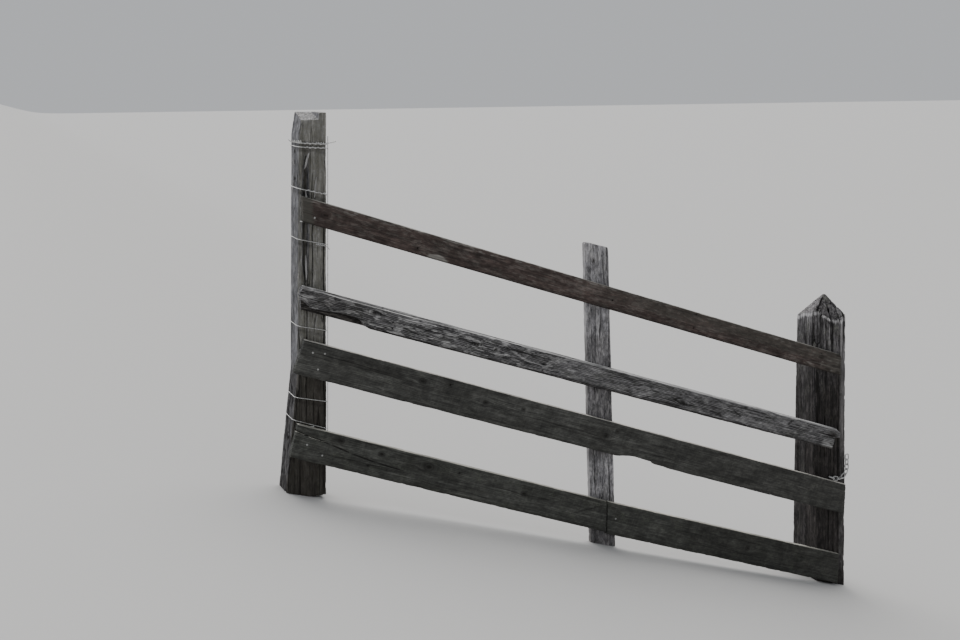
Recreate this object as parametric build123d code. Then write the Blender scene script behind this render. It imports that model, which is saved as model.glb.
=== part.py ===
from build123d import *
import os
from math import atan, cos, degrees, radians, sin, tan

# A sloping wooden panel between a netting post and a thicker gate post.
# X runs along the panel from left to right, Y away from the viewer and Z up.
# The origin is the middle of the right post's foot. Sizes are in millimetres and degrees.

# The site: the ground falls to the right
ground_slope = 17.4
post_spacing = 2232

# The right post, thicker towards its foot, with a weathered point whose four corners differ in height
right_width = 148
right_foot_depth = 170
right_top_depth = 130
right_lean = 3.4
right_wane = 6
right_height = 1264
peak_height = 1270
peak_offset = 14
peak_depth = 70
corner_heights = {"front left": 1215, "front right": 1180, "back right": 1172, "back left": 1173}

# The scoop that rain has worn into the front of the point
scoop_radius = 148
scoop_low = 1165
scoop_offset = 14

# The left post, which spreads towards its foot, with a sloping top cut
left_foot_width = 105
left_top_width = 94
left_depth = 104
left_height = 1319
left_lean = 1.6
left_arris = 9
left_top_drop = 24
# How far the left side is worn in at the top, and how far down that reaches
left_top_wear = (12, 75)
left_sliver = 26
sliver_split = 480
flare_height = 450
flare_reach = 42

# The slat in the middle, nailed behind the rails
slat_x = -1087
slat_foot_width = 108
slat_top_width = 100
slat_thickness = 22
slat_height = 1185
slat_lean = 2.6
slat_top_slope = 15
slat_corner = 9

# Rails: width and thickness, top edge above the ground at each post, and where each end lies
# past the middle of the left post's foot and past the middle of the right post's foot. A slant is
# how far the lower corner of a board's left end lies past the upper one.
top_width = 83
top_thickness = 22
top_rise = (1028, 993)
top_ends = (12, -28)
top_worn_corner = 10

second_width = 86
second_front_layer = 17
second_rear_layer = 21
second_rise = (728, 683)
second_ends = (28, -46)
second_bevel = 9
# The front layer's rotten lower edge, as distance along the rail and down from its top edge
second_decay = (
    (0, 34),
    (25, 50),
    (60, 68),
    (105, 64),
    (160, 57),
    (205, 57),
    (232, 61),
    (262, 81),
    (280, 86),
)
# How far the front layer's top edge lies below the rear one's, at these distances along the rail
second_step = ((60, 4), (150, 8), (450, 8), (750, 4), (2150, 2))
# The front layer's right end, as distance past the rear layer's end and down from its top edge
second_nose = ((0, 0), (23, 14), (21, 33), (-2, 36), (-14, 86))
# The rear layer has lost this much of its lower edge, up to here along the rail
second_rot = 5
second_rot_ends = (253, 290)

third_width = 122
third_thickness = 25
third_rise = (544, 458)
third_ends = (18, 28)
third_slant = 4
wane_start = -1052
wane_length = 240
# How deep the wane bites, at each share of its length, up to the step where it broke off
wane_bites = (
    (0, -1),
    (0.11, 6),
    (0.24, 12),
    (0.33, 14),
    (0.42, 13),
    (0.56, 11),
    (0.66, 11),
    (0.69, 3),
    (0.88, 3),
    (1, -1),
)

bottom_width = 119
bottom_right_width = 125
bottom_thickness = 25
bottom_rise = (241, 183, 150)
bottom_ends = (52, 14)
bottom_slant = -9
bottom_joint_gap = 1.5
split_length = 370
split_mouth = 4
# The split's line from its open end, as shares of its length, of the board's width and of its mouth
split_line = (
    (0, 0.2, 1),
    (0.17, 0.28, 0.9),
    (0.3, 0.31, 0.8),
    (0.5, 0.43, 0.6),
    (0.75, 0.5, 0.35),
    (1, 0.54, 0),
)

# Openings worn into the posts. The floor of a hollow is shorter and narrower than its mouth.
floor_reach = 0.8
floor_width = 0.4
shake_heights = (740, 1200)
shake_width = 28
shake_depth = 16
check_width = 9
check_depth = 30
check_heights = (1010, 1250)
split_width = 3.5
knot_height = 1095
knot_width = 8
knot_length = 42
knot_depth = 14

# Stock netting wire on the left post
strand_wire = 3.1
line_wire = 2.5
stay_wire = 2.5
# The stay's ends, above the foot and below the top
stay_ends = (225, 79)
strands_below_top = (102, 115)
strand_fall = 4
tie_height = 1059
tie_fall = 14
line_heights = {"upper": 891, "middle": 597, "lower": 349}
line_fall = 13
air = 0.3

# The chain on the right post
chain_wire = 4.5
link_inside = 22
link_width = 20
chain_links = 8
chain_reach = 88
chain_inset = 3.5
chain_bend = 40
chain_slack = 0.9

front_y = -right_foot_depth / 2
left_x = -post_spacing


def rise(angle):
    return tan(radians(angle))


def ground(x):
    """Height of the sloping ground, which meets the right post's foot at its lower edge."""
    return (right_width / 2 - x) * rise(ground_slope)


def facing(y):
    """The upright plane at one depth, seen from the viewer's side."""
    return Plane(origin=(0, y, 0), x_dir=(1, 0, 0), z_dir=(0, -1, 0))


def outline(points):
    return make_face(Polyline(*points, close=True))


def upright(points, back_y, thickness):
    """A piece of one thickness, from its outline in X and Z."""
    return extrude(facing(back_y) * outline(points), amount=thickness)


def leaf(bottom, top, reach, width):
    """A long pointed outline that fills a share of the way from bottom to top."""
    spine = Vector(*top) - Vector(*bottom)
    side = Vector(-spine.Y, spine.X).normalized() * width / 2
    middle = Vector(*bottom) + spine / 2
    edges = {1: [], -1: []}
    for hand, edge in edges.items():
        for along, share in ((-0.5, 0), (-0.38, 0.75), (0, 1), (0.38, 0.75), (0.5, 0)):
            edge.append(middle + spine * (along * reach) + side * (share * hand))
    return outline([*edges[-1], *reversed(edges[1][1:-1])])


def hollow(plane, bottom, top, width, depth):
    """A long leaf-shaped pocket, to be cut inwards from a plane that faces out of the wood."""
    mouth = plane.offset(1) * leaf(bottom, top, 1, width)
    floor = plane.offset(-depth) * leaf(bottom, top, floor_reach, width * floor_width)
    return loft([mouth, floor], ruled=True)


def check(plane, top, bottom, width, depth):
    """A drying check: an open crack that closes towards its lower end."""
    corners = [(top[0] - width / 2, top[1]), (top[0] + width / 2, top[1]), bottom]
    return extrude(plane.offset(width) * outline(corners), amount=-depth - width)


def through(a, b, c):
    """The plane through three points, which faces up where they run anticlockwise from above."""
    a, b, c = Vector(*a), Vector(*b), Vector(*c)
    return Plane(origin=a, x_dir=b - a, z_dir=(b - a).cross(c - a))


# The right post


def right_middle(z):
    return -z * rise(right_lean)


def right_side(z):
    return right_middle(z) + right_width / 2


def right_depth(z):
    share = z / right_height
    return right_foot_depth + (right_top_depth - right_foot_depth) * share


def right_section(z):
    across = Rectangle(right_width, right_depth(z))
    return Plane.XY.offset(z) * Pos(right_middle(z), front_y + right_depth(z) / 2) * across


def right_corner(name):
    """Where one upright edge of the right post ends under the point."""
    z = corner_heights[name]
    depth = 0 if name.startswith("front") else right_depth(z)
    width = 0 if name.endswith("right") else right_width
    return (right_side(z) - width, front_y + depth, z)


def make_scoop(peak):
    """A long round cutter that runs up the front of the point to its peak."""
    low = Vector(right_middle(scoop_low) + scoop_offset, front_y, scoop_low)
    high = Vector(low.X, peak[1], peak[2])
    run = (high - low).normalized()
    out = Vector(1, 0, 0).cross(run)
    axis = Plane(origin=low + out * scoop_radius, z_dir=run)
    return axis * Cylinder(scoop_radius, 4 * peak_depth)


def make_right_post():
    post = loft([right_section(0), right_section(peak_height)], ruled=True)
    corner = post.edges().sort_by_distance((right_side(right_height / 2), front_y, right_height / 2))[0]
    post = chamfer(corner, right_wane)
    peak = (right_middle(peak_height) + peak_offset, front_y + peak_depth, peak_height)
    corners = [right_corner(name) for name in corner_heights]
    for first, second in zip(corners, corners[1:] + corners[:1]):
        post = split(post, bisect_by=through(first, second, peak), keep=Keep.BOTTOM)
    post = split(post, bisect_by=Plane.XY.offset(right_height), keep=Keep.BOTTOM)
    post -= make_scoop(peak)
    low, high = check_heights
    half = right_width / 2
    arris = Plane(origin=(right_middle(low) - half, front_y, 0), x_dir=(1, -1, 0), z_dir=(-1, -1, 0))
    drift = (right_middle(high) - right_middle(low)) * cos(radians(45))
    post -= check(arris, (drift, high), (0, low), check_width, check_depth)
    middle = right_middle(high) + check_width / 2
    post -= check(facing(front_y), (middle, high), (middle, low), check_width, check_depth)
    return post


# The left post

left_foot_z = ground(left_x + left_foot_width / 2)
left_top_z = left_foot_z + left_height


def left_middle(z):
    return left_x + (z - left_foot_z) * rise(left_lean)


def left_half(z):
    share = (z - left_foot_z) / left_height
    return (left_foot_width + (left_top_width - left_foot_width) * share) / 2


def left_near(z):
    """The left side of the left post, with the spread of its foot."""
    spread = max(0, flare_height - (z - left_foot_z)) / flare_height * flare_reach
    return left_middle(z) - left_half(z) - spread


def left_far(z):
    return left_middle(z) + left_half(z)


def make_left_post():
    flare_z = left_foot_z + flare_height
    worn_in, worn_down = left_top_wear
    levels = (left_foot_z, flare_z, left_top_z - worn_down)
    points = [(left_near(z), z) for z in levels]
    points.append((left_near(left_top_z) + worn_in, left_top_z))
    points += [(left_far(z), z) for z in (left_top_z, left_foot_z)]
    post = upright(points, front_y + left_depth, left_depth)
    front_edges = post.edges().filter_by_position(Axis.Y, front_y, front_y)
    arris = front_edges.filter_by(
        lambda edge: edge.center().X < left_middle(edge.center().Z) and abs(edge.tangent_at(0).Z) > 0.5
    )
    post = chamfer(arris, left_arris)
    cut_end = left_far(left_top_z) - left_sliver
    slope_plane = Plane(origin=(cut_end, 0, 0), x_dir=(0, 1, 0), z_dir=(1, 0, 0))
    top_cut = outline(
        [
            (front_y, left_top_z - left_top_drop),
            (front_y + left_depth, left_top_z),
            (front_y, left_top_z + left_top_drop),
        ]
    )
    post -= extrude(slope_plane * top_cut, amount=-left_top_width)
    front = facing(front_y)
    shake_bottom, shake_top = [left_foot_z + height for height in shake_heights]
    shake_inset = left_arris + shake_width / 2 + split_width / 2
    post -= hollow(
        front,
        (left_near(shake_bottom) + shake_inset, shake_bottom),
        (left_near(shake_top) + shake_inset, shake_top),
        shake_width,
        shake_depth,
    )
    split_end = left_top_z - sliver_split
    post -= check(
        front,
        (cut_end + split_width, left_top_z + 1),
        (left_far(split_end) - left_sliver, split_end),
        split_width,
        check_depth,
    )
    knot_z = left_foot_z + knot_height
    west = Plane(origin=(left_near(knot_z), 0, 0), x_dir=(0, -1, 0), z_dir=(-1, 0, 0))
    knot_y = -front_y - left_arris - knot_width
    post -= hollow(
        west,
        (knot_y, knot_z - knot_length / 2),
        (knot_y, knot_z + knot_length / 2),
        knot_width,
        knot_depth,
    )
    return post


# The slat

slat_foot_z = ground(slat_x + slat_foot_width / 2)


def slat_middle(z):
    return slat_x - (z - slat_foot_z) * rise(slat_lean)


def make_slat():
    top_z = slat_foot_z + slat_height
    half = slat_foot_width / 2
    top_half = slat_top_width / 2
    top_rise_half = top_half * rise(slat_top_slope)
    shape = outline(
        [
            (slat_x - half, slat_foot_z),
            (slat_x + half, slat_foot_z),
            (slat_middle(top_z) + top_half, top_z - top_rise_half),
            (slat_middle(top_z) - top_half, top_z + top_rise_half),
        ]
    )
    by_height = shape.vertices().group_by(Axis.Y)
    shape = fillet(by_height[-1] + by_height[-2], slat_corner)
    return extrude(facing(front_y + slat_thickness) * shape, amount=slat_thickness)


# The rails


class Edge_line:
    """The top edge of a rail, from its height above the ground at two places."""

    def __init__(self, x_a, rise_a, x_b, rise_b):
        self.x_a = x_a
        self.z_a = ground(x_a) + rise_a
        self.fall = (self.z_a - ground(x_b) - rise_b) / (x_b - x_a)
        self.stretch = (1 + self.fall**2) ** 0.5

    def z(self, x, below=0):
        """Height of the line that lies so far below the top edge, square to it."""
        return self.z_a - (x - self.x_a) * self.fall - below * self.stretch

    def point(self, along, below):
        """A point so far along the edge from its first end, and so far below it."""
        x = self.x_a + (along - below * self.fall) / self.stretch
        return (x, self.z_a - (along * self.fall + below) / self.stretch)


def plumb(line, x, width):
    return [(x, line.z(x)), (x, line.z(x, width))]


top_line = Edge_line(left_x, top_rise[0], 0, top_rise[1])
second_line = Edge_line(left_x, second_rise[0], 0, second_rise[1])
third_line = Edge_line(left_x, third_rise[0], 0, third_rise[1])
bottom_left_line = Edge_line(left_x, bottom_rise[0], slat_x, bottom_rise[1])
bottom_right_line = Edge_line(slat_x, bottom_rise[1], 0, bottom_rise[2])


def head(line, past, slant, width):
    """The two corners of a board's left end, lower one first."""
    return [line.point(-past - slant, width), line.point(-past, 0)]


def make_top_rail():
    start = left_x - top_ends[0]
    end = top_ends[1]
    worn = top_worn_corner
    points = [
        (start, top_line.z(start, top_width)),
        (start, top_line.z(start)),
        (end - worn, top_line.z(end - worn)),
        (end, top_line.z(end, worn)),
        (end, top_line.z(end, top_width)),
    ]
    return upright(points, front_y, top_thickness)


def make_second_rail():
    """Two layers that have come apart. Rot has eaten the front one along its lower left edge, and
    the top strip of its right end stands out over the rest."""
    start = left_x - second_ends[0]
    end = second_ends[1]
    line = second_line
    width = second_width
    shoulder = (start + second_bevel, line.z(start + second_bevel))
    rear = upright(
        [
            (start, line.z(start, width - second_rot)),
            (start, line.z(start, second_bevel * 1.5)),
            shoulder,
            (end, line.z(end)),
            (end, line.z(end, width)),
            line.point(second_rot_ends[1], width),
            line.point(second_rot_ends[0], width - second_rot),
        ],
        front_y,
        second_rear_layer,
    )
    first = second_ends[0] * line.stretch
    upper = [line.point(along - first, below) for along, below in second_step]
    lower = [line.point(along - first, below) for along, below in second_decay]
    right = [(end + past, line.z(end + past, below)) for past, below in second_nose]
    points = [shoulder, *lower, *reversed(right), *reversed(upper)]
    front = upright(points, front_y - second_rear_layer, second_front_layer)
    return rear + front


def make_third_rail():
    end = third_ends[1]
    points = head(third_line, third_ends[0], third_slant, third_width)
    points += plumb(third_line, end, third_width)
    board = upright(points, front_y, third_thickness)
    lower = []
    for share, depth in wane_bites:
        x = wane_start + wane_length * share
        lower.append((x, third_line.z(x, third_width - depth)))
    return board - extrude(facing(front_y + 1) * outline(lower), amount=third_thickness + 2)


def make_bottom_left():
    joint = slat_x - bottom_joint_gap / 2
    line = bottom_left_line
    points = head(line, bottom_ends[0], bottom_slant, bottom_width)
    points += plumb(line, joint, bottom_width)
    board = upright(points, front_y, bottom_thickness)
    start = -bottom_ends[0] - 1
    edges = {-1: [], 1: []}
    for hand, edge in edges.items():
        for along, below, share in split_line:
            depth = bottom_width * below + hand * split_mouth / 2 * share
            edge.append(line.point(start + split_length * along, depth))
    split_hole = outline([*edges[-1], *reversed(edges[1][:-1])])
    return board - extrude(facing(front_y + 1) * split_hole, amount=bottom_thickness + 2)


def make_bottom_right():
    joint = slat_x + bottom_joint_gap / 2
    line = bottom_right_line
    points = plumb(line, joint, bottom_right_width)
    points += reversed(plumb(line, bottom_ends[1], bottom_right_width))
    return upright(points, front_y, bottom_thickness)


# The netting wires, each wrapped once round the left post


def make_wrap(z, slope, wire):
    """A closed turn of wire that hugs the left post in a plane that falls to the right."""
    middle = left_middle(z)
    near = left_near(z)
    far = left_far(z)
    for _ in range(3):
        near = left_near(z + (middle - near) * rise(slope))
        far = left_far(z - (far - middle) * rise(slope))
    lean = cos(radians(slope))
    fall = sin(radians(slope))
    plane = Plane(origin=(middle, 0, z), x_dir=(lean, 0, -fall), z_dir=(fall, 0, lean))
    section = outline(
        [
            ((near - middle) / lean, front_y + left_arris),
            ((near - middle + left_arris) / lean, front_y),
            ((far - middle) / lean, front_y),
            ((far - middle) / lean, front_y + left_depth),
            ((near - middle) / lean, front_y + left_depth),
        ]
    )
    path = plane * offset(section, wire / 2 + air).wire()
    return sweep(Plane(origin=path @ 0, z_dir=path % 0) * Circle(wire / 2), path=path)


def make_stay(z_low, z_high):
    """The upright wire at the right corner, outside the turns of wire."""
    out = air + strand_wire + air + stay_wire / 2
    low = Vector(left_far(z_low) + out, front_y + stay_wire * 2, z_low)
    high = Vector(left_far(z_high) + out, front_y + stay_wire * 2, z_high)
    run = high - low
    return Plane(origin=low, z_dir=run) * Cylinder(
        stay_wire / 2, run.length, align=(Align.CENTER, Align.CENTER, Align.MIN)
    )


# The chain, from a staple on the front of the right post round its right corner


def make_link():
    shape = SlotCenterToCenter(link_inside - link_width + 2 * chain_wire, link_width - chain_wire)
    path = shape.wire()
    return sweep(Plane(origin=path @ 0, z_dir=path % 0) * Circle(chain_wire / 2), path=path)


def make_chain():
    """Links turned a quarter from one to the next, laid along a route that rounds the corner."""
    lay = link_width / 2 + air
    pitch = link_inside - chain_slack
    corner_x = right_side(third_line.z(0)) - chain_inset
    start_x = corner_x - chain_reach
    hook_z = third_line.z(corner_x) + pitch * chain_links
    route = FilletPolyline(
        (start_x, front_y - lay, third_line.z(start_x, -lay)),
        (corner_x, front_y - lay, third_line.z(corner_x, -lay)),
        (corner_x - lay, front_y - lay, hook_z),
        radius=chain_bend,
    )
    chain = []
    turned = Vector(0, -1, 0)
    for count in range(chain_links):
        behind = route @ (count * pitch / route.length)
        ahead = route @ ((count + 1) * pitch / route.length)
        along = (ahead - behind).normalized()
        turned = along.cross(turned - along * along.dot(turned)).normalized()
        chain.append(Plane(origin=(behind + ahead) / 2, x_dir=along, z_dir=turned) * make_link())
    return Compound(children=chain)


wraps = {}
for name, below_top in zip(("upper", "lower"), strands_below_top):
    wraps["top_strand_" + name] = (left_foot_z + left_height - below_top, strand_fall, strand_wire)
wraps["tie_wire"] = (left_foot_z + tie_height, tie_fall, strand_wire)
for name, height in line_heights.items():
    wraps["line_wire_" + name] = (left_foot_z + height, line_fall, line_wire)
rail_top = bottom_left_line.z(left_middle(left_foot_z), -line_wire)
wraps["line_wire_foot"] = (rail_top, degrees(atan(bottom_left_line.fall)), line_wire)
pieces = {
    "right_post": make_right_post(),
    "left_post": make_left_post(),
    "middle_slat": make_slat(),
    "top_rail": make_top_rail(),
    "second_rail": make_second_rail(),
    "third_rail": make_third_rail(),
    "bottom_rail_left": make_bottom_left(),
    "bottom_rail_right": make_bottom_right(),
    "stay_wire": make_stay(left_foot_z + stay_ends[0], left_top_z - stay_ends[1]),
    "gate_chain": make_chain(),
}
for name, (z, slope, wire) in wraps.items():
    pieces[name] = make_wrap(z, slope, wire)

os.makedirs("parts", exist_ok=True)
for name, shape in pieces.items():
    export_step(shape, f"parts/{name}.step")
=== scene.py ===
from itertools import product
from math import cos, pi, radians, sin, tan

import bmesh
import bpy
import numpy as np
from mathutils import Matrix, Vector


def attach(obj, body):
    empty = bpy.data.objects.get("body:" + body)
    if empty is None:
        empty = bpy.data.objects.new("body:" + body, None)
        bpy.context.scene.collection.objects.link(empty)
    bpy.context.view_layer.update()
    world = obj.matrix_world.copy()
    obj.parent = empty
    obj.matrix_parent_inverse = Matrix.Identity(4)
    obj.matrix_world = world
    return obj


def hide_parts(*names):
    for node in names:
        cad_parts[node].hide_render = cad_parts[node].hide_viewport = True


# A weathered fence panel on a slope. Every wooden node of the frame is remeshed in line with its
# grain and then worn: fibres, furrows, cracks, knots, chipped edges and rough ends.
# Lengths of the wood and the fittings are in millimetres: along the grain, down from the top edge
# (on a post or the slat, up from the foot and to the right of the left side) and in from the front.
# A place on the wood is given as (along, below). The scene's own objects are in metres.
# How strong a mark on the wood is, and how much of a tone shows, is a share from 0 to 1.

MM = 0.001

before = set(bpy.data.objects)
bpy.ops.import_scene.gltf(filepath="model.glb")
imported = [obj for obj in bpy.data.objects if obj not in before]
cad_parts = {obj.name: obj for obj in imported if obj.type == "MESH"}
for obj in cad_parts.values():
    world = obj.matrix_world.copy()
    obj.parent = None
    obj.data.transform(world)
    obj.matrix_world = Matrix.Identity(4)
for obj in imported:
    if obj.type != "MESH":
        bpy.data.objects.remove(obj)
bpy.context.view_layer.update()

# The viewer
camera_place = (-3.3395, -4.280, 2.1931)
camera_turn = 22.5
camera_dip = 11.31
camera_lens = 48.75

# The ground, a ramp that levels out past each end of the panel
ground_slope = 17.4
ground_meets = 0.074
ramp_left = -2.9
ramp_right = 0.9
ramp_round = 0.35
ground_reach = 60
ground_left = (-ground_reach, -12, -7)
ground_middle = (-5, 3, 81)
ground_right = (5, 10, ground_reach)
ground_tone = (0.47, 0.47, 0.465, 1)
ground_roughness = 0.95

# Soft light: an even sky, and wide patches of it behind the panel and at the left, each with its
# turn to the right from straight behind and its height above the horizon
sky_tone = (0.84, 0.86, 0.89, 1)
sky_strength = 0.60
wide_lights = {
    "sky_behind": dict(turn=12, height=52, strength=3.3, tone=(1.0, 0.97, 0.94)),
    "sky_left": dict(turn=-82, height=28, strength=1.1, tone=(0.92, 0.95, 1.0)),
}
light_spread = 75

# The fall of each rail and the lean of each upright piece, in degrees
rail_falls = dict(
    top_rail=18.2, second_rail=18.45, third_rail=19.4, bottom_rail_left=20.0, bottom_rail_right=19.0
)
upright_leans = dict(right_post=3.4, left_post=-1.6, middle_slat=2.6)

# How fine the wood is meshed, across and along the grain, and round small marks
cell_across = 1.6
cell_along = 7.0
fine_cuts = 3

# The plane of the posts' fronts
front_y = -85.0

# The marks that each point of the wood keeps for its material
# Stain also paints shade; dark marks knots and paints shade in cracks, holes and grooves; pale also
# paints highlights
mark_names = ("dark", "stain_and_shade", "pale", "moss", "flaky")

# The axis of the turned wood that each side faces along, and which way
sides = dict(front=(1, -1), back=(1, 1), top=(2, 1), left=(2, 1), right=(2, -1))

# Drying cracks on the posts, and finer ones on the front of sawn boards
post_cracks = dict(width=(1.5, 3), depth=(3, 8))
sawn_cracks = dict(width=(0.6, 1.6), depth=(0.8, 2.2), tone=0.7)

# Wear of the lowest boards
bottom_wear = dict(fibre=0.25, swell=0.5, edge=2.4)

# The nails, each its rail and its place there, and the reach of the fine mesh round one
nail_places = []
nail_reach = 8

# How much wider the fine mesh round a hole reaches than the hole itself
hole_share = 2.2

# The crack up the ridge of the right post's point, and the pale line where the point begins
ridge_crack = ((1205.0, 2, 2), (1268.0, 66, 84))
eave_height = 1219
eave_reach = (-9, 2, 3)

# The left post's holes, each with the fine mesh's reach, and the height and fall of its wires
post_holes = ((1076, 72, 25), (1096, 68, 22), (1155, 64, 15), (1191, 58, 15))
wire_heights = ((1217, 4), (1204, 4), (1059, 14), (891, 13), (597, 13), (349, 13), (206, 20))

# Pale scuffs on the top rail
top_rail_scuffs = ((1426, 42), (2015, 16), (2120, 24), (1410, 2), (2338, 40), (573, 3))

# A nail from the middle of its low domed head to its tip: radius and depth
nail_head = ((0.0, -1.2), (1.5, -1.1), (2.8, -0.8), (3.5, -0.2), (3.6, 0.3))
nail_outline = (*nail_head, (1.5, 0.7), (1.4, 12.0), (0.0, 15.0))
nail_sides = 14
nail_tilt = 0.08
nail_out = 0.2

# A splinter from root to tip: how far along it is, its share of the width, and its lift
splinter_outline = ((0, 0.25, -2), (0.15, 0.8, 0), (0.5, 1.0, 0.6), (0.85, 0.55, 1.2), (1, 0.08, 1.6))
splinter_root = -3
splinter_pale = 0.7

# Wires on the front of the left post, placed across and up in the scene's own axes. Wound wires
# have their height at one place across, their fall and their radius.
wire_out = 1.9
wire_sides = 8
turn_steps = 12
wound_wires = ((1923.2, 4, 1.4), (1910.2, 4, 1.4), (1765.2, 14, 1.5))
wound_from = -2199
wound_ends = (-2226, -2154)

# Wire ends: where the turns start and end, their radius, the wire's own, and the points of the free
# tail, each across, out and up
wire_ends = (
    ((-2268, 1932.5), (-2236, 1931), 3.0, 1.4, ((-2268, 3, 1932), (-2277, 5, 1934), (-2283, 9, 1939))),
    ((-2190, 1925), (-2150, 1922.5), 3.0, 1.4, ((-2150, 3, 1923), (-2138, 5, 1925), (-2121, 6, 1929))),
    ((-2196, 1590), (-2166, 1583), 2.6, 1.2, ((-2166, 3, 1583), (-2158, 6, 1578), (-2152, 9, 1570))),
)

# Staples, with their bends from the middle of each: right, in from the post's front, and up
staples = ((-2241, 1668), (-2225, 961))
staple_outline = ((-5, 8, 0), (-5, -2, 0), (-3.5, -4.2, 0), (3.5, -4.2, -1), (5, -2, -1), (5, 8, -1))
staple_wire = 1.6

# The woods: the tones of wood, bleached fibres and moss or lichen, how far the fibres differ, how
# strong rings, saw marks, grit and lichen are, and a shift to a grain of its own
# The pale tone shows on bleached fibres, and also in painted highlights
plain_wood = dict(spread=1.0, ring=0.3, sawn=0.0, grit=0.36, lichen=0.3, moss=(0.20, 0.22, 0.15))
sawn_wood = dict(spread=0.75, ring=0.5, sawn=0.7, grit=0.2, lichen=0.5)
bottom_wood = dict(
    sawn_wood, tone=(0.065, 0.066, 0.060), pale=(0.40, 0.39, 0.35), moss=(0.10, 0.107, 0.083)
)
wood_looks = {
    "gate_post_wood": dict(
        tone=(0.106, 0.100, 0.103), pale=(0.50, 0.49, 0.49), spread=1.15, lichen=0.35, shift=1.0
    ),
    "netting_post_wood": dict(
        tone=(0.168, 0.168, 0.177), pale=(0.38, 0.37, 0.36), moss=(0.172, 0.166, 0.134),
        spread=1.1, lichen=0.35, shift=2.0,
    ),
    "slat_wood": dict(
        tone=(0.234, 0.228, 0.238), pale=(0.38, 0.37, 0.37), spread=1.15, lichen=0.2, shift=3.0
    ),
    "top_rail_wood": dict(
        tone=(0.067, 0.050, 0.045), pale=(0.34, 0.335, 0.31), moss=(0.072, 0.072, 0.062),
        spread=0.8, ring=0.2, grit=0.24, lichen=0.5, shift=7.8,
    ),
    "second_rail_wood": dict(
        tone=(0.114, 0.111, 0.113), pale=(0.44, 0.435, 0.43),
        spread=1.3, ring=1.2, grit=0.25, lichen=0.15, shift=8.1,
    ),
    "third_rail_wood": dict(
        sawn_wood, tone=(0.069, 0.069, 0.064), pale=(0.56, 0.54, 0.50), moss=(0.11, 0.115, 0.095),
        lichen=0.3, shift=8.5,
    ),
    "bottom_rail_left_wood": dict(bottom_wood, shift=8.9),
    "bottom_rail_right_wood": dict(bottom_wood, shift=9.3),
}

# Their textures: how often each repeats in a metre along, in from the front and across, its detail
# and its roughness
wood_textures = {
    "fibre": ((9, 520, 520), 3, 0.55),
    "strand": ((6, 180, 180), 3, 0.6),
    "streak": ((2.6, 80, 80), 4, 0.55),
    "blotch": ((7, 16, 16), 5, 0.6),
    "flake": ((20, 85, 85), 4, 0.62),
    "pore": ((3.2, 210, 210), 2, 0.55),
    "sawn": ((150, 5, 5), 3, 0.7),
    "grit": ((45, 130, 130), 3, 0.7),
    "cloud": ((22, 38, 38), 3, 0.6),
    "patch": ((14, 22, 22), 6, 0.7),
    "fleck": ((170, 170, 170), 4, 0.7),
}
grain_bend = ((5, 9, 9), 1, 0.55)
grain_bend_reach = (0, 0.012, 0.012)
ring_stretch = (6, 60, 60)
ring_shape = {"Scale": 1.0, "Distortion": 5.0, "Detail": 2.0, "Detail Scale": 0.8}

# What each texture adds to the grain and to the surface's height. Lines are rings and saw marks.
grain_weights = dict(fibre=0.2, strand=0.3, streak=0.24, blotch=0.26)
line_weights = dict(ring=0.16, sawn=0.2)
heights = dict(fibre=0.5, strand=0.6, open_pore=-0.8, fleck=0.25, flaked=0.6, flake_edge=-0.6)
line_heights = dict(sawn=0.3, ring=0.15)

# Where a texture turns into a mark or a tone: its values and the shares or tones there
open_pore_stops = ((0.30, 1.0), (0.37, 0.0))
flake_stops = {
    "flaked": ((0.51, 0.0), (0.56, 1.0)),
    "flake_edge": ((0.455, 0.0), (0.475, 1.0), (0.485, 1.0), (0.505, 0.0)),
}
lichen_stops = ((0.27, 0.0), (0.40, 1.0))
cloud_stops = ((0.36, 0.78), (0.64, 1.22))
speckle_stops = ((0.40, 0.55), (0.62, 1.5))

# The grain's values at which its four tones lie, and what each tone gains as the spread grows
tone_places = (0.40, 0.47, 0.53, 0.61)
tone_gains = (-0.6, -0.22, 0.16, 0.7)
pale_spread = 0.6
# The tone that stains and painted shade darken the wood by, and the near black of dark knots and of
# painted shade in cracks and holes
stain_and_shade_tone = (0.2376, 0.22, 0.2068, 1)
dark_and_shade_tone = (0.010, 0.009, 0.008, 1)
wood_gloss = 0.22

# The zinc of each kind of fitting: its tone, and how far rust has spread
zinc_looks = {
    "galvanised_wire": dict(tone=(0.70, 0.70, 0.69), rust=0.15),
    "chain_steel": dict(tone=(0.60, 0.60, 0.60), rust=0.05),
    "nail_zinc": dict(tone=(0.50, 0.50, 0.49), rust=0.2),
}
zinc_mottle = {"Scale": 240.0, "Detail": 4.0}
zinc_dull_share = 0.62
rust_patches = {"Scale": 31.0, "Detail": 5.0, "Roughness": 0.7}
rust_tone = (0.10, 0.045, 0.02, 1)


def new_object(name, data):
    made = bpy.data.objects.new(name, data)
    bpy.context.scene.collection.objects.link(made)
    return made


def make_camera():
    data = bpy.data.cameras.new("viewer")
    data.lens = camera_lens
    camera = new_object("viewer", data)
    camera.location = camera_place
    camera.rotation_euler = (radians(90 - camera_dip), 0, radians(-camera_turn))
    bpy.context.scene.camera = camera


# Numbers that look random but are the same on each run


def lattice_value(cell, seed):
    """A fixed number from -1 to 1 for each cell of a grid."""
    key = cell[:, 0] * 73856093 ^ cell[:, 1] * 19349663 ^ cell[:, 2] * 83492791 ^ seed * 668265263
    key = (key & 0x7FFFFFFF) * 1103515245 + 12345
    key = ((key >> 11) ^ key) & 0x7FFFFFFF
    key = (key * 69069 + 1) & 0x7FFFFFFF
    return (key >> 7 & 0xFFFF) / 32767.5 - 1


def noise(points, size, seed):
    """Smooth noise from -1 to 1, with lumps of that size along each axis."""
    scaled = points / np.array(size, float)
    cell = np.floor(scaled).astype(np.int64)
    part = scaled - cell
    part = part * part * (3 - 2 * part)
    total = np.zeros(len(points))
    for corner in product((0, 1), repeat=3):
        share = np.where(np.array(corner), part, 1 - part).prod(axis=1)
        total += share * lattice_value(cell + np.array(corner), seed)
    return total


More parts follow.
